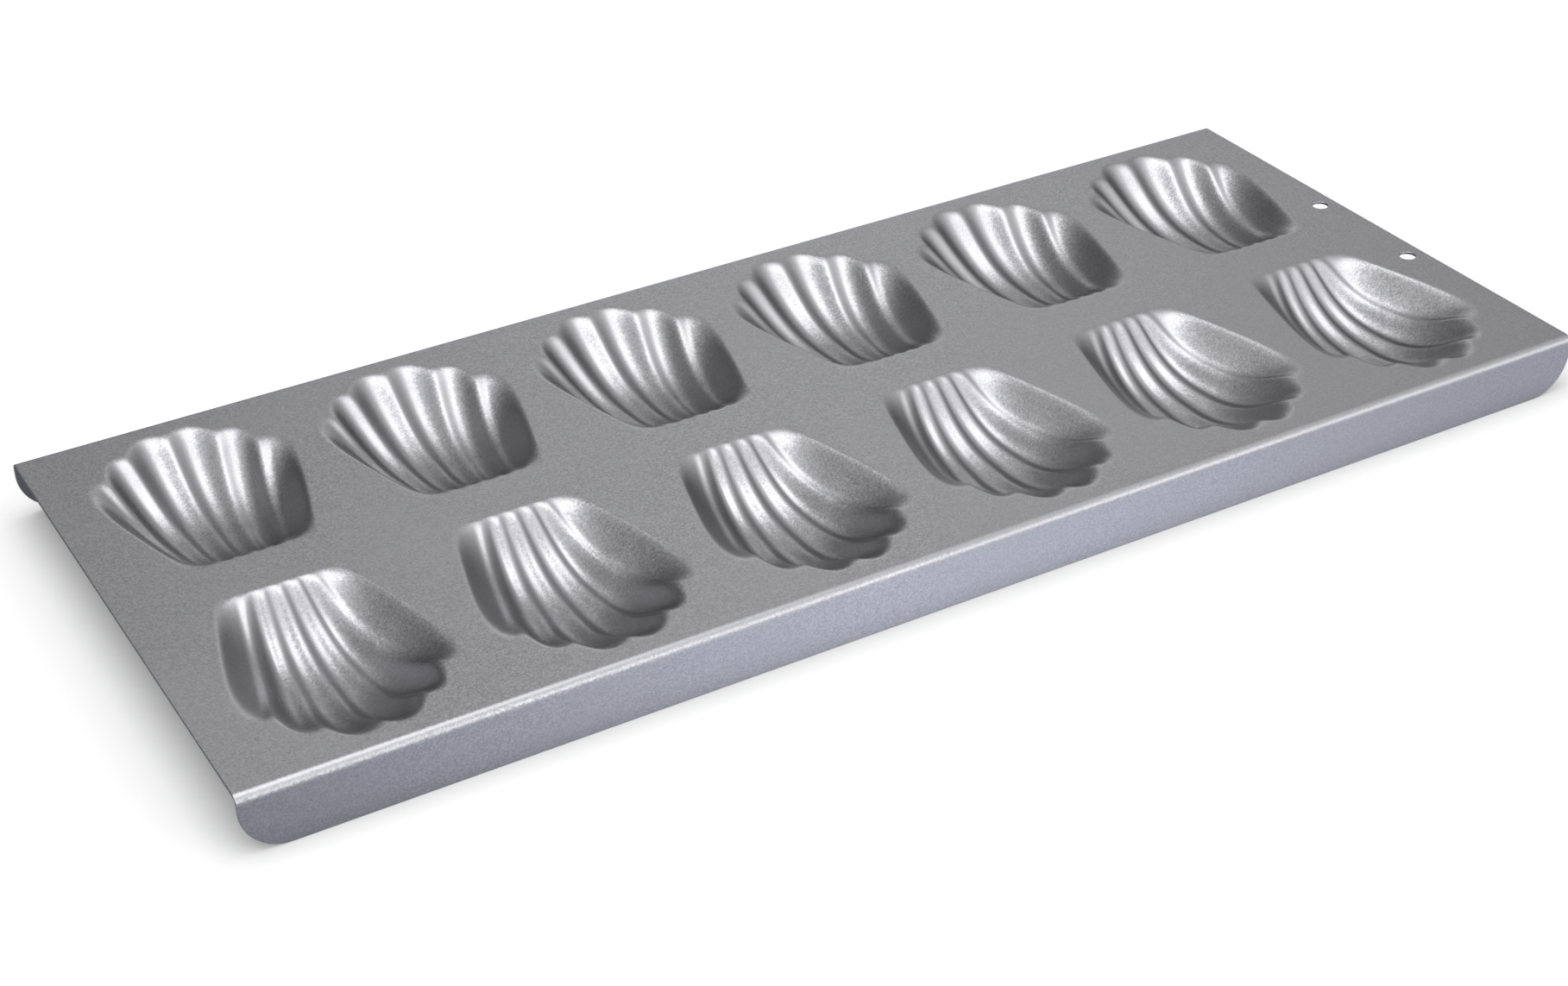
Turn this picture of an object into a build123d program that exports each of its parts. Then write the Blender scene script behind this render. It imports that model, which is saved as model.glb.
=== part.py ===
from build123d import *
from math import acosh, comb, cos, cosh, exp, hypot, log, pi, sqrt, tanh
import os

import numpy

# A madeleine pan: one coated steel sheet with twelve fluted shell moulds pressed into it and
# both long sides folded down. All lengths are in millimetres. The origin is at the bottom
# centre of the pan, X runs along its length, +Y towards the back and +Z up.
# Each formed zone of the sheet is a solid of its own, and neighbours meet face to face.

# The sheet and its folds
pan_length = 390.0
pan_width = 165.5
pan_height = 16.5
sheet_thickness = 0.8
bend_radius = 2.4
flange_corner_radius = 12.0

# The two hanging holes
hanging_hole_radius = 2.35
hanging_hole_spacing = 39.5
hanging_hole_edge_distance = 5.6
hanging_hole_offset = -1.6

# The flat parts left round the moulds, and how many moulds stand side by side
left_margin = 10.7
right_margin = 9.3
column_gap = 6.8
row_gap = 15.0
wide_end_margin = 5.05
mould_columns = 6

# The outline of one mould, which fills the room left to it. Its lines run from the narrow end to
# the wide end: line 0 is the middle ridge, 1 and 2 are the next ridges and 3 is the outer side.
# The shares are of half its width across and of its length along.
mould_width = (
    pan_length - left_margin - right_margin - column_gap * (mould_columns - 1)
) / mould_columns
mould_length = (pan_width - 2 * bend_radius - row_gap) / 2 - wide_end_margin
narrow_across_share = (0.0, 0.15, 0.308, 0.615)
notch_across_share = (0.0, 0.455, 0.76, 1.0)
notch_along_share = (1.0, 0.93, 0.795, 0.68)
bow_share = (0.0, -0.046, -0.028, 0.026)
lobe_bulge = 2.3
notch_softness_share = 0.25
outer_lobe_share = 0.7

# The depth of one mould
mould_depth = 13.8
lip_softness = 3.4
ridge_height = 1.05
ridge_rise = 4.0
ridge_sharpness = 2.4
flank_ridge_share = 0.68
deepest_share = 0.5
narrow_end_power = 2.7
wide_end_power = 2.15
flank_power = 3.3

# A mould surface is made of smooth patches between these lines
flutes_each_side = 3
patch_share = (0.0, 0.14, deepest_share, 0.80, 1.0)
across_degree = 8
along_degree = 7
probe_share = 1e-4


def through(table, line):
    """Smooth curve through a table of values for the lines 0, 1, 2 and 3, mirrored about 0."""
    last = len(table) - 1
    mirrored = list(table[:0:-1]) + list(table)
    if table[0] == 0:
        mirrored = [-value for value in table[:0:-1]] + list(table)
    mirrored = (
        [2 * mirrored[0] - mirrored[1]] + mirrored + [2 * mirrored[-1] - mirrored[-2]]
    )
    start = min(max(int(line + last), 0), 2 * last - 1)
    step = line + last - start
    before, low, high, after = mirrored[start : start + 4]
    slope_low, slope_high = (high - before) / 2, (after - low) / 2
    return (
        low * (2 * step**3 - 3 * step**2 + 1)
        + slope_low * (step**3 - 2 * step**2 + step)
        + high * (3 * step**2 - 2 * step**3)
        + slope_high * (step**3 - step**2)
    )


def rim_point(line):
    """Point of the scalloped wide end on a line: whole numbers are notches or ends."""
    across = mould_width / 2 * through(notch_across_share, line)
    along = mould_length * through(notch_along_share, line)
    wave = abs(cos(pi * (line + 1 / 2)))
    soft = notch_softness_share
    swell = (sqrt(wave**2 + soft**2) - soft) / (sqrt(1 + soft**2) - soft)
    bulge = lobe_bulge * swell
    if abs(line) > flutes_each_side - 1:
        bulge = bulge * outer_lobe_share
    reach = hypot(across, along)
    return across + bulge * across / reach, along + bulge * along / reach


def plan_point(line, share):
    """Place seen from above, on a line across the flutes and a share of the way along them."""
    narrow_across = mould_width / 2 * through(narrow_across_share, line)
    wide_across, wide_along = rim_point(line)
    bow = mould_width / 2 * through(bow_share, line)
    swing = share**2 * (1 - share) * 27 / 4
    across = narrow_across + (wide_across - narrow_across) * share + bow * swing
    return across, wide_along * share


def depth_at(line, share):
    """Depth of the mould's inside below the plate's top."""
    if share < deepest_share:
        along = 1 - (1 - share / deepest_share) ** narrow_end_power
    else:
        along = 1 - ((share - deepest_share) / (1 - deepest_share)) ** wide_end_power
    across = 1 - (abs(line) / flutes_each_side) ** flank_power
    ridge = min(round(abs(line)), flutes_each_side - 1)
    beside = abs(line) - ridge
    if ridge == flutes_each_side - 1 and beside > 0:
        beside = min(beside / flank_ridge_share, 1 / 2)
    crest = ridge_height * max(cos(pi * beside), 0) ** ridge_sharpness
    full = lip_softness * acosh(exp(mould_depth / lip_softness))
    bowl = full * max(along * across, 0)
    raw = bowl - crest * tanh(bowl / ridge_rise)
    return lip_softness * log(cosh(raw / lip_softness))


def inside_point(line, share):
    """Point of the mould's inside, the surface that the batter touches."""
    across, along = plan_point(line, share)
    return Vector(across, along, -depth_at(line, share))


def outside_point(line, share):
    """Point of the mould's underside, one sheet thickness away from its inside."""
    outer = flutes_each_side
    left = inside_point(max(line - probe_share, -outer), share)
    right = inside_point(min(line + probe_share, outer), share)
    near = inside_point(line, max(share - probe_share, 0))
    far = inside_point(line, min(share + probe_share, 1))
    normal = (right - left).cross(far - near).normalized()
    if abs(line) == outer or share in (0, 1):
        normal = Vector(0, 0, 1)
    return inside_point(line, share) - normal * sheet_thickness


def spread(degree):
    """Places from 0 to 1, both included, that suit a curve of this degree."""
    return [(1 - cos(pi * step / degree)) / 2 for step in range(degree + 1)]


def weights(degree):
    """How much each control point weighs at each place of spread."""
    return numpy.array(
        [
            [comb(degree, k) * at**k * (1 - at) ** (degree - k) for k in range(degree + 1)]
            for at in spread(degree)
        ]
    )


def control_net(surface_point, low_line, high_line, low_share, high_share):
    """Control points of the patch that passes through a surface between two lines and shares."""
    points = numpy.array(
        [
            [
                tuple(
                    surface_point(
                        low_line + (high_line - low_line) * across,
                        low_share + (high_share - low_share) * along,
                    )
                )
                for along in spread(along_degree)
            ]
            for across in spread(across_degree)
        ]
    )
    net = numpy.einsum("ai,ijk->ajk", numpy.linalg.inv(weights(across_degree)), points)
    return numpy.einsum("bj,ajk->abk", numpy.linalg.inv(weights(along_degree)), net)


def patch_face(net):
    return Face.make_bezier_surface([[Vector(*point) for point in row] for row in net])


def mould_faces():
    """All faces of one mould, and the control points of its boundary on the plate's top."""
    faces, boundary = [], []
    lines = range(-flutes_each_side, flutes_each_side)
    shares = list(zip(patch_share[:-1], patch_share[1:]))
    for low_line in lines:
        for low_share, high_share in shares:
            place = (low_line, low_line + 1, low_share, high_share)
            inside = control_net(inside_point, *place)
            outside = control_net(outside_point, *place)
            faces += [patch_face(inside), patch_face(outside)]
            edges = []
            if low_line == -flutes_each_side:
                edges.append((inside[0], outside[0]))
            if low_line + 1 == flutes_each_side:
                edges.append((inside[-1], outside[-1]))
            if low_share == 0:
                edges.append((inside[:, 0], outside[:, 0]))
            if high_share == 1:
                edges.append((inside[:, -1], outside[:, -1]))
            for upper, lower in edges:
                faces.append(patch_face([upper, lower]))
                boundary.append([tuple(point) for point in upper])
    return faces, boundary


def mould_places():
    """Name and place of every mould; the back row is the front row turned half round."""
    first = -pan_length / 2 + left_margin + mould_width / 2
    for column in range(mould_columns):
        x = first + (mould_width + column_gap) * column
        yield f"shell_mould_front_{column + 1}", Location((x, -row_gap / 2, pan_height), (0, 0, 180))
        yield f"shell_mould_back_{column + 1}", Location((x, row_gap / 2, pan_height))


def flange(side):
    """One long side folded down: the bend and the straight wall below it, side is -1 or 1."""
    outer = side * pan_width / 2
    inner = outer - side * sheet_thickness
    start = outer - side * bend_radius
    under = pan_height - sheet_thickness
    turn = pan_height - bend_radius
    with BuildPart() as folded:
        with BuildSketch(Plane.YZ.offset(-pan_length / 2)):
            with BuildLine():
                Line((start, under), (start, pan_height))
                RadiusArc((start, pan_height), (outer, turn), side * bend_radius)
                Polyline((outer, turn), (outer, 0), (inner, 0), (inner, turn))
                RadiusArc((inner, turn), (start, under), -side * (bend_radius - sheet_thickness))
            make_face()
        extrude(amount=pan_length)
        corners = folded.edges().filter_by(Axis.Y).group_by(Axis.Z)[0]
        fillet(corners, radius=flange_corner_radius)
    return folded


os.makedirs("parts", exist_ok=True)

faces, boundary = mould_faces()
master = Solid(Shell(faces))

with BuildPart() as top_plate:
    with BuildSketch(Plane.XY.offset(pan_height)):
        Rectangle(pan_length, pan_width - 2 * bend_radius)
        for _, place in mould_places():
            with Locations(Location((place.position.X, place.position.Y), place.orientation.Z)):
                with BuildLine(mode=Mode.PRIVATE) as outline:
                    for row in boundary:
                        Bezier(*[(point[0], point[1]) for point in row])
                add(make_face(outline.edges(), mode=Mode.PRIVATE), mode=Mode.SUBTRACT)
        hole_x = pan_length / 2 - hanging_hole_edge_distance
        with Locations((hole_x, hanging_hole_offset)):
            with GridLocations(0, hanging_hole_spacing, 1, 2):
                Circle(hanging_hole_radius, mode=Mode.SUBTRACT)
    extrude(amount=-sheet_thickness)
    # The flat sheet is parted along the ends of the moulds, so that no zone wraps round one
    narrow_ends = row_gap / 2
    outer_corners = narrow_ends + mould_length * notch_along_share[-1]
    for cut in (-outer_corners, -narrow_ends, narrow_ends, outer_corners):
        split(bisect_by=Plane.XZ.offset(cut), keep=Keep.BOTH)
top_plate.part.label = "top_plate"
export_step(top_plate.part, "parts/top_plate.step")

front_flange = flange(-1)
front_flange.part.label = "front_flange"
export_step(front_flange.part, "parts/front_flange.step")

back_flange = flange(1)
back_flange.part.label = "back_flange"
export_step(back_flange.part, "parts/back_flange.step")

for name, place in mould_places():
    with BuildPart() as shell_mould:
        with Locations(place):
            add(master)
    shell_mould.part.label = name
    export_step(shell_mould.part, f"parts/{name}.step")
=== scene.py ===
# %% [markdown]
# # A madeleine pan
#
# The real pan is one sheet of steel, coated grey, with twelve fluted shell moulds pressed into it
# and both long sides folded down. Here it is dressed for its picture, piece by piece, round a
# measured frame that is loaded first and never moved. Lengths are given in millimetres, as on a
# drawing, and turned to Blender's metres where a mesh is made.

# %% Load the measured frame
from math import acosh, cos, cosh, exp, hypot, log, pi, radians, sqrt, tanh

import bmesh
import bpy
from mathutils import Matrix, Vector


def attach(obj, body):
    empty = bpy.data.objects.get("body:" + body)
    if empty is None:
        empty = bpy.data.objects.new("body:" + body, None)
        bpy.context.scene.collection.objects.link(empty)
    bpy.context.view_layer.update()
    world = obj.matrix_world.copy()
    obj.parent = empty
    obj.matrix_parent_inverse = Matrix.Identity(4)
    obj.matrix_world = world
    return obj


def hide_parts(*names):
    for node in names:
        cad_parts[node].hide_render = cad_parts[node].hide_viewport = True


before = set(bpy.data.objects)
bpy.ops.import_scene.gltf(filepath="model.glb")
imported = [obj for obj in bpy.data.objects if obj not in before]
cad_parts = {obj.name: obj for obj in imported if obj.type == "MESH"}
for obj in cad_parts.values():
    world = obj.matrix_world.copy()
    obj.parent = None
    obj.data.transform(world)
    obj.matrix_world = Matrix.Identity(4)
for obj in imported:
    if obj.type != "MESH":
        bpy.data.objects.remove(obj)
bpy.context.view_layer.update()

MM = 0.001

# %% [markdown]
# ## Sizes of the sheet
#
# The sheet is 0.8 mm thick. Its top is 16.5 mm above the table, because the moulds hang from it
# and the folded sides are its feet. The moulds fill the room between named margins, six in a row
# in two rows, narrow ends towards the middle.

# %% Name the sizes
pan_length = 390.0
pan_width = 165.5
pan_height = 16.5
sheet_thickness = 0.8
bend_radius = 2.4
flange_corner_radius = 12.0
left_margin = 10.7
right_margin = 9.3
column_gap = 6.8
row_gap = 15.0
wide_end_margin = 5.05
mould_columns = 6
mould_width = (
    pan_length - left_margin - right_margin - column_gap * (mould_columns - 1)
) / mould_columns
mould_length = (pan_width - 2 * bend_radius - row_gap) / 2 - wide_end_margin
print("one mould", round(mould_width, 1), "by", round(mould_length, 1), "mm")

# %% [markdown]
# Two small helpers serve every piece. One selects objects and nothing else, because the edit
# tools work on whatever is selected. The other puts an object's place, turn and size into its
# mesh, so that every piece has the pan's own origin and the steel's pattern lies still on it.

# %% Write helpers for selecting and settling


def only(*objs):
    """Selects these objects and nothing else, and makes the first the active one."""
    bpy.ops.object.select_all(action="DESELECT")
    for obj in objs:
        obj.select_set(True)
    bpy.context.view_layer.objects.active = objs[0]


def settle(obj):
    """Puts the object's place, turn and size into its mesh, so that its own origin is the pan's."""
    only(obj)
    bpy.ops.object.transform_apply(location=True, rotation=True, scale=True)


# %% [markdown]
# ## The shape of a shell mould
#
# A madeleine mould is half a scallop shell: five ridges run from a narrow straight end to a
# scalloped wide end, and the hollow between them is deepest half way along. It could be sculpted,
# or made of six swept flutes, but the flutes bow, widen and fade into a wide smooth flank, and no
# row of edit-mode moves gives that. So the outline and the depth are written down as formulas
# from a few numbers. Line 0 is the middle ridge, 1 and 2 are the next ones, 3 is the flank's
# edge, and a share from 0 to 1 says how far along the mould a place is. The tables below give
# those lines' ends as shares of half the mould's width and of its length.

# %% Name the places of the mould's lines
flutes_each_side = 3
narrow_across_share = (0.0, 0.15, 0.308, 0.615)
notch_across_share = (0.0, 0.455, 0.76, 1.0)
notch_along_share = (1.0, 0.93, 0.795, 0.68)
bow_share = (0.0, -0.046, -0.028, 0.026)
print("flutes", 2 * flutes_each_side, "ridges", 2 * flutes_each_side - 1)

# %% [markdown]
# Between the lines the values have to run smoothly, or every line would show as a kink in the
# metal. A cubic through the neighbouring values does that. A mould is the same left and right, so
# its tables are mirrored about the middle line: a place across changes its sign there, and a place
# along doesn't.

# %% Write a smooth curve through a table


def through(table, line):
    """Smooth curve through a table of values for the lines 0, 1, 2 and 3, mirrored about 0."""
    last = len(table) - 1
    mirrored = list(table[:0:-1]) + list(table)
    if table[0] == 0:
        mirrored = [-value for value in table[:0:-1]] + list(table)
    mirrored = (
        [2 * mirrored[0] - mirrored[1]] + mirrored + [2 * mirrored[-1] - mirrored[-2]]
    )
    start = min(max(int(line + last), 0), 2 * last - 1)
    step = line + last - start
    before, low, high, after = mirrored[start : start + 4]
    slope_low, slope_high = (high - before) / 2, (after - low) / 2
    return (
        low * (2 * step**3 - 3 * step**2 + 1)
        + slope_low * (step**3 - 2 * step**2 + step)
        + high * (3 * step**2 - 2 * step**3)
        + slope_high * (step**3 - step**2)
    )


print("half way to the next ridge", round(through(notch_across_share, 1 / 2), 3))

# %% [markdown]
# The wide end is scalloped. Each flute ends in a small lobe that bulges outwards, the outermost
# ones a little less, and between two lobes is a softly rounded notch. The lines bow on their way
# from end to end, as the ribs of a real shell do, most of all two thirds of the way along.

# %% Write the outline as a formula
lobe_bulge = 2.3
notch_softness_share = 0.25
outer_lobe_share = 0.7


def rim_point(line):
    """Point of the scalloped wide end on a line: whole numbers are notches or ends."""
    across = mould_width / 2 * through(notch_across_share, line)
    along = mould_length * through(notch_along_share, line)
    wave = abs(cos(pi * (line + 1 / 2)))
    soft = notch_softness_share
    swell = (sqrt(wave**2 + soft**2) - soft) / (sqrt(1 + soft**2) - soft)
    bulge = lobe_bulge * swell
    if abs(line) > flutes_each_side - 1:
        bulge = bulge * outer_lobe_share
    reach = hypot(across, along)
    return across + bulge * across / reach, along + bulge * along / reach


def plan_point(line, share):
    """Place seen from above, on a line across the flutes and a share of the way along them."""
    narrow_across = mould_width / 2 * through(narrow_across_share, line)
    wide_across, wide_along = rim_point(line)
    bow = mould_width / 2 * through(bow_share, line)
    swing = share**2 * (1 - share) * 27 / 4
    across = narrow_across + (wide_across - narrow_across) * share + bow * swing
    return across, wide_along * share


lobe_tip = rim_point(1 / 2)
print("a middle lobe reaches", [round(value, 1) for value in lobe_tip], "mm")

# %% [markdown]
# The depth is a smooth bowl with five ridges on its floor, about a millimetre high. They sink into
# the wall close to the rim, and the outermost ones end in the flank's smooth leaf. Where the wall
# meets the flat sheet a press can't leave a sharp corner, so the formula lets the depth start
# level and then fall away in a rounded lip.

# %% Write the depth as a formula
mould_depth = 13.8
lip_softness = 3.4
ridge_height = 1.05
ridge_rise = 4.0
ridge_sharpness = 2.4
flank_ridge_share = 0.68
deepest_share = 0.5
narrow_end_power = 2.7
wide_end_power = 2.15
flank_power = 3.3


def depth_at(line, share):
    """Depth of the mould's inside below the plate's top."""
    if share < deepest_share:
        along = 1 - (1 - share / deepest_share) ** narrow_end_power
    else:
        along = 1 - ((share - deepest_share) / (1 - deepest_share)) ** wide_end_power
    across = 1 - (abs(line) / flutes_each_side) ** flank_power
    ridge = min(round(abs(line)), flutes_each_side - 1)
    beside = abs(line) - ridge
    if ridge == flutes_each_side - 1 and beside > 0:
        beside = min(beside / flank_ridge_share, 1 / 2)
    crest = ridge_height * max(cos(pi * beside), 0) ** ridge_sharpness
    full = lip_softness * acosh(exp(mould_depth / lip_softness))
    bowl = full * max(along * across, 0)
    raw = bowl - crest * tanh(bowl / ridge_rise)
    return lip_softness * log(cosh(raw / lip_softness))


print("depth on a ridge and beside it", round(depth_at(0, 0.5), 1), round(depth_at(0.5, 0.5), 1))

# %% [markdown]
# ## Pressing one shell
#
# The shell starts as a flat grid, as the sheet does, and its points are moved to the formula, as
# the press does. Its outermost cells are a narrow level border, so that the shell and the flat
# sheet meet where both are level and no seam shows. The points stand closer together near the
# rim, where the lip bends most.

# %% Say where each point of the grid goes
cells_across = 146
cells_along = 112
border = 0.4
probe_share = 1e-3


def squeezed(share):
    """Crowds the places towards both ends, where the lip bends sharply."""
    return (share + (1 - cos(pi * share)) / 2) / 2


def outward(line, share):
    """Direction that points away from the mould at a place on its outline, seen from above."""
    across, along = 0.0, 0.0
    if share in (0.0, 1.0):
        low = Vector(plan_point(max(line - probe_share, -flutes_each_side), share))
        high = Vector(plan_point(min(line + probe_share, flutes_each_side), share))
        run = (high - low).normalized()
        side = 1 if share == 1.0 else -1
        across, along = across - run.y * side, along + run.x * side
    if abs(line) == flutes_each_side:
        low = Vector(plan_point(line, max(share - probe_share, 0)))
        high = Vector(plan_point(line, min(share + probe_share, 1)))
        run = (high - low).normalized()
        side = 1 if line > 0 else -1
        across, along = across + run.y * side, along - run.x * side
    return Vector((across, along))


def pressed_point(column, row):
    """Place of one grid point of the shell, in millimetres."""
    inner = min(max(column - 1, 0), cells_across - 2) / (cells_across - 2)
    line = flutes_each_side * (inner + squeezed(inner) - 1)
    share = squeezed(min(max(row - 1, 0), cells_along - 2) / (cells_along - 2))
    place = Vector(plan_point(line, share))
    if column in (0, cells_across) or row in (0, cells_along):
        place = place + outward(line, share) * border
        return Vector((place.x, place.y, 0))
    return Vector((place.x, place.y, -depth_at(line, share)))


print("one corner of the border", [round(value, 1) for value in pressed_point(0, 0)])

# %% [markdown]
# A grid that reaches from -1 to 1 both ways is easy to count: a point's place tells its column
# and its row, and those tell where the press puts it.

# %% Press the grid into a shell
bpy.ops.object.select_all(action="DESELECT")
bpy.ops.mesh.primitive_grid_add(
    x_subdivisions=cells_across, y_subdivisions=cells_along, size=2
)
shell = bpy.context.object
shell.name = "fluted_shell"
for vertex in shell.data.vertices:
    column = round((vertex.co.x + 1) / 2 * cells_across)
    row = round((vertex.co.y + 1) / 2 * cells_along)
    vertex.co = pressed_point(column, row) * MM
shell.data.update()
print("grid points", len(shell.data.vertices), "up", shell.data.polygons[0].normal.z > 0)

# %% [markdown]
# The outline of the flat border is copied off, because it is the outline of the opening in the
# flat sheet too. Then the shell gets its 0.8 mm, downwards, so that the inside keeps the pressed
# shape. It is shaded smooth except at the sheet's cut edge.

# %% Copy off the outline and give the shell its thickness
smooth_below = radians(60)

only(shell)
bpy.ops.object.mode_set(mode="EDIT")
bpy.ops.mesh.select_all(action="SELECT")
bpy.ops.mesh.region_to_loop()
bpy.ops.mesh.duplicate()
bpy.ops.mesh.separate(type="SELECTED")
bpy.ops.object.mode_set(mode="OBJECT")
outline = next(obj for obj in bpy.context.selected_objects if obj is not shell)
outline.name = "opening_outline"


def thicken(obj):
    """Turns a surface into sheet metal below it."""
    only(obj)
    solidify = obj.modifiers.new("sheet thickness", "SOLIDIFY")
    solidify.thickness = sheet_thickness * MM
    solidify.offset = -1
    solidify.use_even_offset = True
    bpy.ops.object.modifier_apply(modifier=solidify.name)


thicken(shell)
bpy.ops.object.shade_smooth_by_angle(angle=smooth_below)
print("shell faces", len(shell.data.polygons), "outline edges", len(outline.data.edges))

# %% [markdown]
# ## Twelve shells
#
# A press has one pair of tools for every mould, so all twelve are the same. The back row stands as
# modelled, wide ends to the back, and the front row is turned half round.

# %% Copy the shell to its twelve places
steel_pieces = []
outlines = []


def placed_copy(source, name, x, side):
    """A copy with its own mesh, in the back row where side is 1 and in the front row where -1."""
    only(source)
    bpy.ops.object.duplicate(linked=False)
    copy = bpy.context.object
    copy.name = name
    copy.location = (x * MM, side * row_gap / 2 * MM, pan_height * MM)
    copy.rotation_euler = (0, 0, 0 if side == 1 else pi)
    settle(copy)
    return copy


first_x = -pan_length / 2 + left_margin + mould_width / 2
for row_name, side in (("front", -1), ("back", 1)):
    for column in range(mould_columns):
        place = f"{row_name}_{column + 1}"
        x = first_x + (mould_width + column_gap) * column
        piece = placed_copy(shell, f"fluted_shell_{place}", x, side)
        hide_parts(f"shell_mould_{place}")
        steel_pieces.append(piece)
        outlines.append(placed_copy(outline, f"outline_{place}", x, side))
only(shell, outline)
bpy.ops.object.delete()
print("shells", len(steel_pieces), "each of", len(steel_pieces[0].data.polygons), "faces")

# %% [markdown]
# ## The flat sheet
#
# What the press leaves flat is a sheet with fourteen openings: twelve for the shells and two
# hanging holes at the right end. It could be one filled face, but a fill loses its way among so
# many edges on one line. So it is punched, as in a workshop: every outline is made a solid punch,
# and a boolean takes the punches out of a plain sheet. Each opening then has exactly its shell's
# edge.

# %% Make the punches
hanging_hole_radius = 2.35
hanging_hole_spacing = 39.5
hanging_hole_edge_distance = 5.6
hanging_hole_offset = -1.6
hanging_hole_segments = 64
punch_reach = 3.0

hole_x = pan_length / 2 - hanging_hole_edge_distance
hole_places = [
    (hole_x, hanging_hole_offset + side * hanging_hole_spacing / 2) for side in (-1, 1)
]
for x, y in hole_places:
    bpy.ops.object.select_all(action="DESELECT")
    bpy.ops.mesh.primitive_circle_add(
        vertices=hanging_hole_segments,
        radius=hanging_hole_radius * MM,
        location=(x * MM, y * MM, pan_height * MM),
    )
    settle(bpy.context.object)
    outlines.append(bpy.context.object)

for punch in outlines:
    only(punch)
    bpy.ops.object.mode_set(mode="EDIT")
    bpy.ops.mesh.select_all(action="SELECT")
    bpy.ops.transform.translate(value=(0, 0, -punch_reach * MM))
    bpy.ops.mesh.edge_face_add()
    bpy.ops.mesh.extrude_region_move(
        TRANSFORM_OT_translate={"value": (0, 0, 2 * punch_reach * MM)}
    )
    bpy.ops.mesh.select_all(action="SELECT")
    bpy.ops.mesh.normals_make_consistent(inside=False)
    bpy.ops.object.mode_set(mode="OBJECT")
only(*outlines)
bpy.ops.object.join()
punches = bpy.context.object
print("punch faces", len(punches.data.polygons))

# %% [markdown]
# The sheet is a plain box that stops a little short of both folds, on level ground, so that its
# joint with the folded sides doesn't show. The exact solver copes with the punches' many edges.

# %% Punch the flat sheet
level_strip = 1.0
sheet_depth = pan_width - 2 * (bend_radius + level_strip)

bpy.ops.object.select_all(action="DESELECT")
bpy.ops.mesh.primitive_cube_add(
    size=1, location=(0, 0, (pan_height - sheet_thickness / 2) * MM)
)
sheet = bpy.context.object
sheet.name = "flat_sheet"
sheet.scale = (pan_length * MM, sheet_depth * MM, sheet_thickness * MM)
settle(sheet)
punching = sheet.modifiers.new("punch", "BOOLEAN")
punching.operation = "DIFFERENCE"
punching.solver = "EXACT"
punching.object = punches
bpy.ops.object.modifier_apply(modifier=punching.name)
only(punches)
bpy.ops.object.delete()
flat_up = sum(face.area for face in sheet.data.polygons if face.normal.z > 0)
print("sheet faces", len(sheet.data.polygons), "top area mm2", round(flat_up / MM**2))

# %% [markdown]
# Cut edges are never knife sharp once they are coated: the coating rounds them a little. A bevel
# does the same. Which edges get it is a rule, because the boolean leaves too many to pick by hand.
# Here they are the two short ends of the sheet and the rims of the hanging holes.

# %% Round the cut edges
edge_rounding = 0.22
edge_segments = 3
corner_angle = radians(60)
snap = 0.01
rim_reach = 0.1


def round_edges(obj, chosen):
    """Bevels the edges that chosen says yes to, given an edge's middle and direction in mm."""
    only(obj)
    bpy.ops.object.mode_set(mode="EDIT")
    bpy.ops.mesh.select_mode(type="EDGE")
    bpy.ops.mesh.select_all(action="DESELECT")
    mesh = bmesh.from_edit_mesh(obj.data)
    count = 0
    for edge in mesh.edges:
        low, high = (vertex.co / MM for vertex in edge.verts)
        pick = chosen((low + high) / 2, (high - low).normalized(), edge)
        edge.select_set(pick)
        count += pick
    bmesh.update_edit_mesh(obj.data)
    bpy.ops.mesh.bevel(offset=edge_rounding * MM, segments=edge_segments, affect="EDGES")
    bpy.ops.object.mode_set(mode="OBJECT")
    print(obj.name, "edges rounded", count)


def is_cut_edge(middle, direction, edge):
    """The short ends and the hole rims of the flat sheet, but not its upright edges."""
    if abs(direction.z) > 1 / 2 or edge.calc_face_angle(0) < corner_angle:
        return False
    if abs(abs(middle.x) - pan_length / 2) < snap:
        return True
    rim = hanging_hole_radius + rim_reach
    return any(hypot(middle.x - x, middle.y - y) < rim for x, y in hole_places)


round_edges(sheet, is_cut_edge)
bpy.ops.object.shade_flat()
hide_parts("top_plate")
steel_pieces.append(sheet)

# %% [markdown]
# ## The folded sides
#
# Each long side is folded down over a small radius, and its two lower corners are cut round. It
# could be a box with bevels, but sheet metal is easier as sheet metal: the flat wall is drawn and
# its corners rounded, its top edge is swung a quarter turn round the fold's centre, a level strip
# reaches on to the flat sheet, and last the whole of it gets its thickness. For each of these a
# helper picks the vertices by their place, as a hand would with a box drawn round them.

# %% Write a helper that picks vertices


def in_edit(obj, chosen):
    """Goes to edit mode with just the vertices selected that chosen says yes to, in mm."""
    only(obj)
    bpy.ops.object.mode_set(mode="EDIT")
    bpy.ops.mesh.select_mode(type="VERT")
    bpy.ops.mesh.select_all(action="DESELECT")
    mesh = bmesh.from_edit_mesh(obj.data)
    for vertex in mesh.verts:
        vertex.select_set(chosen(vertex.co / MM))
    mesh.select_flush(True)
    bmesh.update_edit_mesh(obj.data)


in_edit(sheet, lambda point: point.x > hole_x)
bpy.ops.object.mode_set(mode="OBJECT")
print("vertices past the holes", sum(vertex.select for vertex in sheet.data.vertices))

# %% [markdown]
# The steps are the same for both sides, so they are a function. What changes is only which way is
# outwards: -1 is to the front and 1 to the back.

# %% Write how one side is folded
fold_steps = 16
flange_corner_segments = 18
wall_height = pan_height - bend_radius


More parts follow.
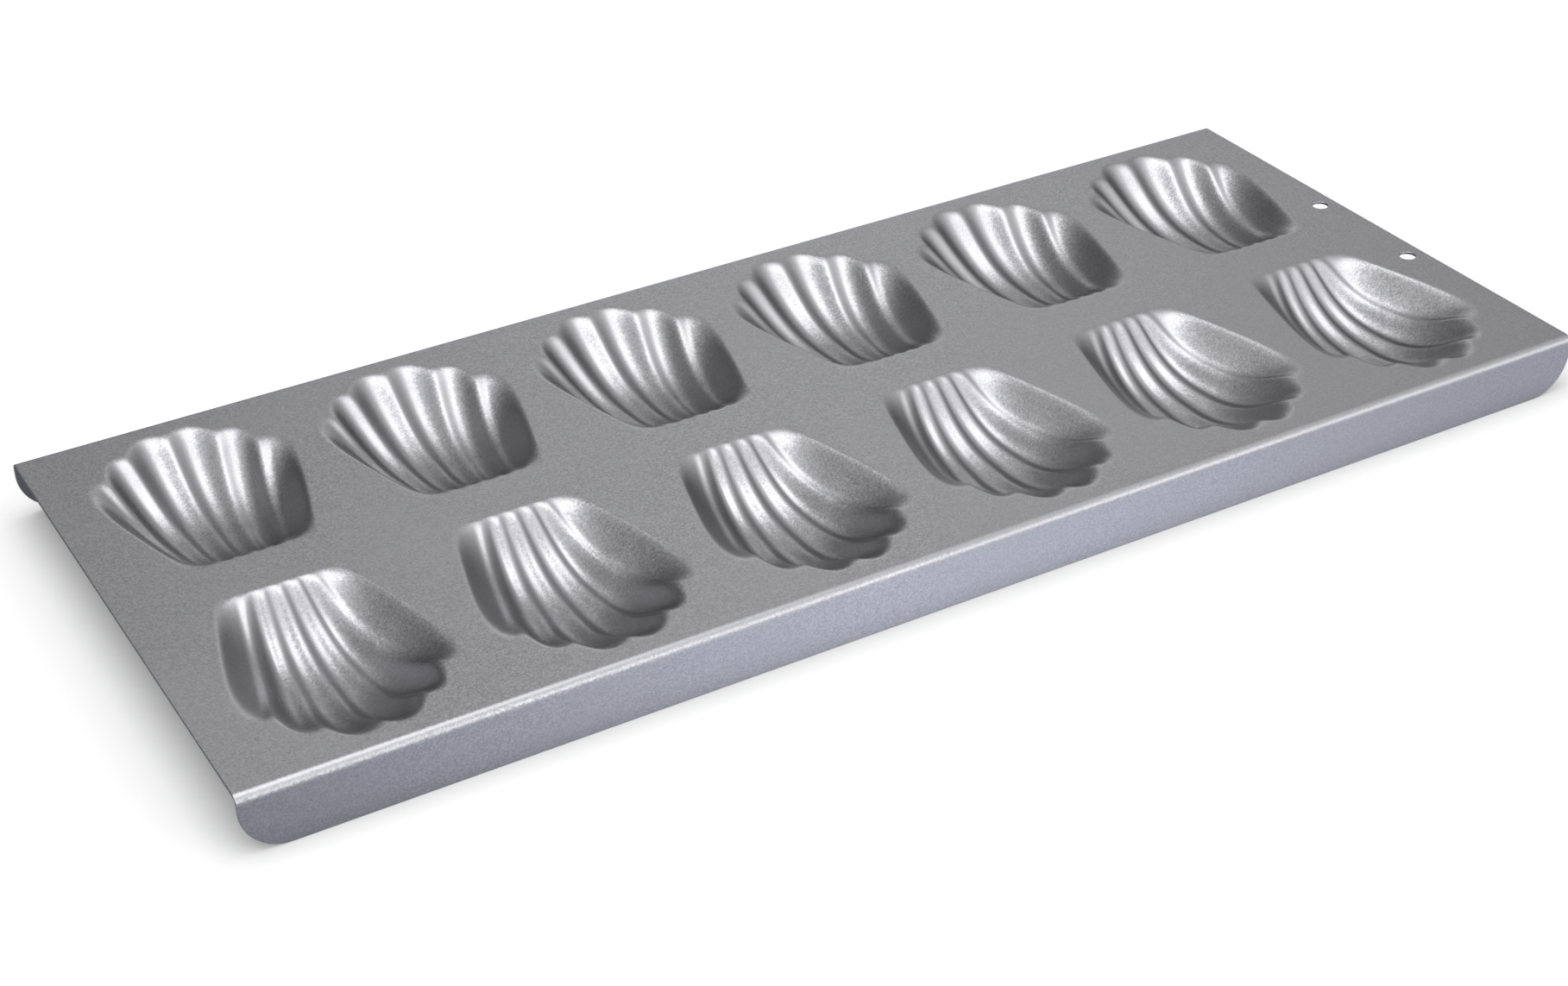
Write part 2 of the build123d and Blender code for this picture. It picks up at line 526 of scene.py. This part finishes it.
def folded_side(name, side):
    """The front side where side is -1 and the back side where it is 1."""
    outer = side * pan_width / 2
    fold_y = outer - side * bend_radius
    bpy.ops.object.select_all(action="DESELECT")
    bpy.ops.mesh.primitive_plane_add(
        size=1, location=(0, outer * MM, wall_height / 2 * MM), rotation=(pi / 2, 0, 0)
    )
    wall = bpy.context.object
    wall.name = name
    wall.scale = (pan_length * MM, wall_height * MM, 1)
    settle(wall)
    in_edit(wall, lambda point: point.z < snap)
    bpy.ops.mesh.bevel(
        offset=flange_corner_radius * MM,
        offset_type="OFFSET",
        segments=flange_corner_segments,
        affect="VERTICES",
    )
    bpy.ops.object.mode_set(mode="OBJECT")
    in_edit(wall, lambda point: point.z > wall_height - snap)
    bpy.ops.mesh.spin(
        steps=fold_steps,
        angle=-side * pi / 2,
        center=(0, fold_y * MM, wall_height * MM),
        axis=(1, 0, 0),
    )
    bpy.ops.object.mode_set(mode="OBJECT")
    in_edit(wall, lambda point: point.z > pan_height - snap)
    bpy.ops.mesh.extrude_edges_move(
        TRANSFORM_OT_translate={"value": (0, -side * level_strip * MM, 0)}
    )
    bpy.ops.mesh.select_all(action="SELECT")
    bpy.ops.mesh.remove_doubles(threshold=snap / 10 * MM)
    bpy.ops.mesh.normals_make_consistent(inside=False)
    bpy.ops.object.mode_set(mode="OBJECT")
    # The level strip has to face up before the wall gets its thickness
    top = max(wall.data.polygons, key=lambda face: face.center.z)
    if top.normal.z < 0:
        wall.data.flip_normals()
    thicken(wall)
    return wall


print("wall below the fold", round(wall_height, 1), "mm")

# %% [markdown]
# Both sides are folded the same way, once to the front and once to the back. Their cut edges are
# rounded as the sheet's are, all but the joint with the flat sheet. The fold is shaded smooth, and
# weighted normals keep the wall and the strip flat up to it, as bent sheet is.

# %% Fold both long sides
fold_smooth_below = radians(50)
weight_by_area = 100


def is_side_cut(middle, direction, edge):
    """The cut edge all round a folded side, but not where it runs on into the flat sheet."""
    if edge.calc_face_angle(0) < corner_angle:
        return False
    return abs(middle.y) > sheet_depth / 2 + snap


for name, node, side in (("front_side", "front_flange", -1), ("back_side", "back_flange", 1)):
    flange = folded_side(name, side)
    round_edges(flange, is_side_cut)
    only(flange)
    bpy.ops.object.shade_smooth_by_angle(angle=fold_smooth_below)
    weighted = flange.modifiers.new("flat faces stay flat", "WEIGHTED_NORMAL")
    weighted.mode = "FACE_AREA"
    weighted.weight = weight_by_area
    weighted.keep_sharp = True
    bpy.ops.object.modifier_apply(modifier=weighted.name)
    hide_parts(node)
    steel_pieces.append(flange)
    print(name, "faces", len(flange.data.polygons))

# %% [markdown]
# ## The finish: coated steel
#
# Steel bakeware like this is sprayed with a grey coating full of fine metal flakes and then baked.
# The eye sees metal, but a soft one: broad highlights, no clear mirror image, and a fine sparkle
# where single flakes catch the light. So the shader is fully metallic with a middling roughness,
# and the flakes turn its normals a little, each its own way.

# %% Write helpers for colours and nodes


def linear(hex_colour):
    """A colour as written on the web, turned to the linear values that Blender works in."""
    channels = [int(hex_colour[place : place + 2], 16) / 255 for place in (1, 3, 5)]
    return [
        *(c / 12.92 if c <= 0.04045 else ((c + 0.055) / 1.055) ** 2.4 for c in channels),
        1.0,
    ]


def add_node(tree, kind, settings=None, links=None):
    """Adds a node, sets its properties or sockets, and links its sockets from other nodes."""
    node = tree.nodes.new(kind)
    for name, value in (settings or {}).items():
        if isinstance(name, int) or name in node.inputs:
            node.inputs[name].default_value = value
        else:
            setattr(node, name, value)
    for name, source in (links or {}).items():
        tree.links.new(source, node.inputs[name])
    return node


print("middle grey in linear light", round(linear("#808080")[0], 3))

# %% [markdown]
# Three patterns lie over each other, each with its own real size. The flakes are some 0.05 mm
# across, but they are drawn at 0.4 mm, because finer ones would melt into an even grey in a
# picture of the whole pan. The sprayed coat has a faint orange peel, waves some 1.5 mm long and a
# few hundredths high. And pressing leaves the flat parts not quite flat, which shows as slow
# changes of grey, here called clouds.

# %% Draw the flakes, the peel and the clouds
flake_size = 0.4
peel_size = 1.5
cloud_size = 45.0
noise_detail = 2.0
noise_roughness = 0.5

coated = bpy.data.materials.new("coated_steel_sprayed_and_baked")
coated.use_nodes = True
tree = coated.node_tree
tree.nodes.clear()
place = add_node(tree, "ShaderNodeTexCoord").outputs["Object"]
flakes = add_node(
    tree,
    "ShaderNodeTexVoronoi",
    {"voronoi_dimensions": "3D", "feature": "F1", "Scale": 1 / (flake_size * MM)},
    {"Vector": place},
)


def noise(size):
    """A soft random pattern whose waves are this long in millimetres."""
    return add_node(
        tree,
        "ShaderNodeTexNoise",
        {"Scale": 1 / (size * MM), "Detail": noise_detail, "Roughness": noise_roughness},
        {"Vector": place},
    ).outputs["Fac"]


peel = noise(peel_size)
clouds = noise(cloud_size)
print("patterns of", flake_size, peel_size, cloud_size, "mm")

# %% [markdown]
# Each flake leans its own way, so its random colour, less its middle, is added to the normal. The
# eye gets a fine sparkle from it. The peel is a very low bump on top, which keeps the highlights
# from being glassy.

# %% Lean the flakes and raise the peel
flake_lean = 0.08
peel_strength = 0.35
peel_height = 0.05

upright = add_node(tree, "ShaderNodeNewGeometry").outputs["Normal"]
lean = add_node(
    tree,
    "ShaderNodeVectorMath",
    {"operation": "MULTIPLY_ADD", 1: [flake_lean] * 3, 2: [-flake_lean / 2] * 3},
    {0: flakes.outputs["Color"]},
).outputs["Vector"]
leaning = add_node(
    tree, "ShaderNodeVectorMath", {"operation": "ADD"}, {0: upright, 1: lean}
).outputs["Vector"]
leaning = add_node(
    tree, "ShaderNodeVectorMath", {"operation": "NORMALIZE"}, {0: leaning}
).outputs["Vector"]
bumpy = add_node(
    tree,
    "ShaderNodeBump",
    {"Strength": peel_strength, "Distance": peel_height * MM},
    {"Height": peel, "Normal": leaning},
).outputs["Normal"]
print("flakes lean by up to", round(flake_lean / 2, 3))

# %% [markdown]
# The greys of single flakes differ a little round the coating's own grey, and the clouds move the
# mix slowly. They move the roughness too, because a thinner coat is a little smoother.

# %% Give the coating its greys and its gloss
steel_grey = "#959598"
darker_flake = "#88888B"
lighter_flake = "#A2A2A5"
cloud_range = (0.3, 0.7)
evenness_range = (0.2, 0.6)
roughness_range = (0.34, 0.39)


def by_clouds(low, high):
    """A value that goes from low to high with the clouds."""
    return add_node(
        tree,
        "ShaderNodeMapRange",
        {
            "From Min": cloud_range[0],
            "From Max": cloud_range[1],
            "To Min": low,
            "To Max": high,
        },
        {"Value": clouds},
    ).outputs["Result"]


flake_value = add_node(
    tree, "ShaderNodeSeparateColor", {}, {"Color": flakes.outputs["Color"]}
).outputs["Red"]
flake_grey = add_node(
    tree,
    "ShaderNodeMix",
    {"data_type": "RGBA", 6: linear(darker_flake), 7: linear(lighter_flake)},
    {0: flake_value},
).outputs[2]
grey = add_node(
    tree,
    "ShaderNodeMix",
    {"data_type": "RGBA", 7: linear(steel_grey)},
    {0: by_clouds(*evenness_range), 6: flake_grey},
).outputs[2]
gloss = by_clouds(*roughness_range)
print("greys", darker_flake, steel_grey, lighter_flake)

# %% [markdown]
# The shader itself is a metal. Real flakes lie in a clear binder, which takes away the bright
# mirror that bare metal shows at a flat angle, so the edge tint is turned down. All fifteen pieces
# get the same coating, because the pan is sprayed in one go.

# %% Coat every piece
edge_tint = 0.4

shader = add_node(
    tree,
    "ShaderNodeBsdfPrincipled",
    {"Metallic": 1.0, "Specular Tint": (edge_tint, edge_tint, edge_tint, 1.0)},
    {"Base Color": grey, "Roughness": gloss, "Normal": bumpy},
)
add_node(tree, "ShaderNodeOutputMaterial", {}, {"Surface": shader.outputs["BSDF"]})

for piece in steel_pieces:
    piece.data.materials.clear()
    piece.data.materials.append(coated)
    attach(piece, "root")
print("pieces in coated steel", len(steel_pieces))

# %% [markdown]
# ## Table, light and camera
#
# The pan lies on a table in a plain studio. The table's top is a board painted matt, so it shows
# no mirror image of the pan, only its soft shadow. The camera sees it at the level where it just
# turns white, so that the shadow still shows. The metal mirrors its table too, and there the table
# carries a painted pool of light: the folded side shows it, palest at the middle and falling off to
# both ends. So the colour depends on who looks: a neutral one for the camera, and for the metal a
# painted reflection, paler and very slightly blue, with that pool on it. Each fade of the pool is
# written as the two places along the table, in metres, where it starts and ends, and its levels
# there.

# %% Choose the table's colour and its painted reflection
table_size = 8
table_seen = "#C9C9C9"
# The colour the metal sees is a painted reflection, paler and slightly blue. The two fades below
# paint a pool of light on it, palest at the middle.
painted_reflection_of_table = "#E9EBF8"
painted_pool_left_fade = (-0.26, 0.0, 0.33, 1.0)
painted_pool_right_fade = (0.0, 0.25, 1.0, 0.68)

painted_board = bpy.data.materials.new("matt_painted_board")
painted_board.use_nodes = True
tree = painted_board.node_tree
tree.nodes.clear()
ray = add_node(tree, "ShaderNodeLightPath")
place = add_node(tree, "ShaderNodeTexCoord").outputs["Object"]
place_x = add_node(tree, "ShaderNodeSeparateXYZ", {}, {0: place}).outputs["X"]


def painted_pool_fade(start, end, first, last):
    """A level of the painted pool of light that eases from first to last between two places along
    the table, in metres.
    """
    return add_node(
        tree,
        "ShaderNodeMapRange",
        {
            "interpolation_type": "SMOOTHSTEP",
            "From Min": start,
            "From Max": end,
            "To Min": first,
            "To Max": last,
        },
        {"Value": place_x},
    ).outputs["Result"]


# The painted pool of light: both fades multiplied, palest at the middle and falling off to both
# ends.
painted_pool_of_light = add_node(
    tree,
    "ShaderNodeMath",
    {"operation": "MULTIPLY"},
    {0: painted_pool_fade(*painted_pool_left_fade), 1: painted_pool_fade(*painted_pool_right_fade)},
).outputs["Value"]
# The table's painted reflection, for glossy rays only, dimmed by the painted pool towards both
# ends.
mirrored = add_node(
    tree,
    "ShaderNodeMix",
    {"data_type": "RGBA", "blend_type": "MULTIPLY", 0: 1.0, 6: linear(painted_reflection_of_table)},
    {7: painted_pool_of_light},
).outputs[2]
table_colour = add_node(
    tree,
    "ShaderNodeMix",
    {"data_type": "RGBA", 6: linear(table_seen)},
    {0: ray.outputs["Is Glossy Ray"], 7: mirrored},
).outputs[2]
print("table seen as", table_seen, "and in the metal as", painted_reflection_of_table)

# %% [markdown]
# The table is one plane. A little glow of its own, for the camera and for mirrors only, keeps the
# far corners as white as the middle. It lights nothing else.

# %% Lay the table
table_glow = 0.12

seen = add_node(
    tree,
    "ShaderNodeMath",
    {"operation": "MAXIMUM"},
    {0: ray.outputs["Is Camera Ray"], 1: ray.outputs["Is Glossy Ray"]},
).outputs["Value"]
seen = add_node(
    tree,
    "ShaderNodeMath",
    {"operation": "MAXIMUM"},
    {0: seen, 1: ray.outputs["Is Transmission Ray"]},
).outputs["Value"]
glow_level = add_node(
    tree, "ShaderNodeMath", {"operation": "MULTIPLY", 1: table_glow}, {0: seen}
).outputs["Value"]
matt = add_node(tree, "ShaderNodeBsdfDiffuse", {}, {"Color": table_colour})
glow = add_node(
    tree, "ShaderNodeEmission", {}, {"Color": table_colour, "Strength": glow_level}
)
both = add_node(
    tree,
    "ShaderNodeAddShader",
    {},
    {0: matt.outputs["BSDF"], 1: glow.outputs["Emission"]},
)
add_node(tree, "ShaderNodeOutputMaterial", {}, {"Surface": both.outputs["Shader"]})

bpy.ops.object.select_all(action="DESELECT")
bpy.ops.mesh.primitive_plane_add(size=table_size)
table = bpy.context.object
table.name = "table"
table.data.materials.append(painted_board)
print("table", table_size, "m across")

# %% [markdown]
# One square soft lamp hangs above the pan. It is large, so every shadow has a soft edge, and its
# picture in the flutes' floors is a broad one.

# %% Hang the lamp
lamp_side = 0.9
lamp_place = (-0.15, 0.1, 1.2)
lamp_radiance = 2.5

lamp_data = bpy.data.lights.new("soft_lamp", "AREA")
lamp_data.shape = "SQUARE"
lamp_data.size = lamp_side
lamp_data.energy = lamp_radiance * pi * lamp_side**2
lamp = bpy.data.objects.new("soft_lamp", lamp_data)
lamp.location = lamp_place
bpy.context.collection.objects.link(lamp)
print("lamp", round(lamp_data.energy, 2), "W")

# %% [markdown]
# The room is what draws the flutes, because metal shows little but its room. It is dim all round,
# and a wide window of light opens high above the camera: walls that lean to it turn near white,
# and walls that lean away show the dim room or each other. The rest is what a photographer does
# with card. A white one stands low behind, where the flat sheet mirrors it. A second stands low in
# front to the right, and is the thin second line along the fold. A third, on the right, is faint.
# A dark card behind to the left takes light away from the walls that lean that way. The room could
# be built of planes, but as a formula on the direction it has no edges that a mirror could show.

# %% Write helpers for the room's light
world = bpy.data.worlds.new("studio_room")
bpy.context.scene.world = world
world.use_nodes = True
tree = world.node_tree
tree.nodes.clear()
direction = add_node(tree, "ShaderNodeTexCoord").outputs["Generated"]


def facing(towards):
    """How much a direction faces another, 1 straight at it and 0 square to it."""
    return add_node(
        tree, "ShaderNodeVectorMath", {"operation": "DOT_PRODUCT", 1: towards}, {0: direction}
    ).outputs["Value"]


def narrowed(value, power):
    """The value to a power, which leaves less of it away from its middle."""
    return add_node(
        tree, "ShaderNodeMath", {"operation": "POWER", 1: power}, {0: value}
    ).outputs["Value"]


def lit(value, strength, rest=0.0, links=None):
    """The value times a strength, added to the rest of the light."""
    return add_node(
        tree,
        "ShaderNodeMath",
        {"operation": "MULTIPLY_ADD", 1: strength, 2: rest},
        {0: value, **(links or {})},
    ).outputs["Value"]


print("room nodes so far", len(tree.nodes))

# %% [markdown]
# The window's light begins where a direction is just past square to it, and is full where one
# nearly faces it. Each card is a direction, a power that makes it narrow, and a strength. The dark
# card's strength is below zero, and the dim light all round keeps the sum above it.

# %% Paint the room
room_dim = 0.28
window_towards = (-0.25, -0.45, 0.86)
window_from, window_to = -0.1, 0.9
window_power = 1.5
window_strength = 1.6
card_behind = ((0.485, 0.840, 0.242), 25.0, 1.75)
card_in_front = ((0.500, -0.780, 0.370), 20.0, 3.20)
card_right = ((0.850, 0.450, 0.280), 3.0, 0.22)
dark_card = ((-0.570, 0.820, 0.050), 4.0, -0.19)

window = add_node(
    tree,
    "ShaderNodeMapRange",
    {"From Min": window_from, "From Max": window_to, "To Min": 0.0, "To Max": 1.0},
    {"Value": facing(window_towards)},
).outputs["Result"]
room_strength = lit(narrowed(window, window_power), window_strength, room_dim)
for towards, power, strength in (card_behind, card_in_front, card_right, dark_card):
    card = add_node(
        tree, "ShaderNodeMath", {"operation": "MAXIMUM", 1: 0.0}, {0: facing(towards)}
    ).outputs["Value"]
    room_strength = lit(narrowed(card, power), strength, links={2: room_strength})
room = add_node(
    tree, "ShaderNodeBackground", {"Color": linear("#FFFFFF")}, {"Strength": room_strength}
)
add_node(tree, "ShaderNodeOutputWorld", {}, {"Surface": room.outputs["Background"]})
print("room nodes", len(tree.nodes))

# %% [markdown]
# The camera's place, turn and lens were worked out from the photograph, which is 1817 by 1143
# pixels: they are the ones from which the pan's four corners and its folded ends fall on their
# places in it. It stands in front, a little past the pan's left end and 0.38 m up, and looks down
# to the right.

# %% Stand the camera
camera_place = (-0.31855, -0.54766, 0.38448)
camera_turn = (57.8443, 1.1423, -30.1319)
camera_lens = 62.42
camera_sensor = 36.0

camera_data = bpy.data.cameras.new("camera")
camera_data.sensor_width = camera_sensor
camera_data.lens = camera_lens
camera = bpy.data.objects.new("camera", camera_data)
camera.location = camera_place
camera.rotation_euler = [radians(angle) for angle in camera_turn]
bpy.context.collection.objects.link(camera)
bpy.context.scene.camera = camera
bpy.context.scene.view_settings.view_transform = "Standard"
print("camera", round(Vector(camera_place).length, 2), "m from the pan's middle")
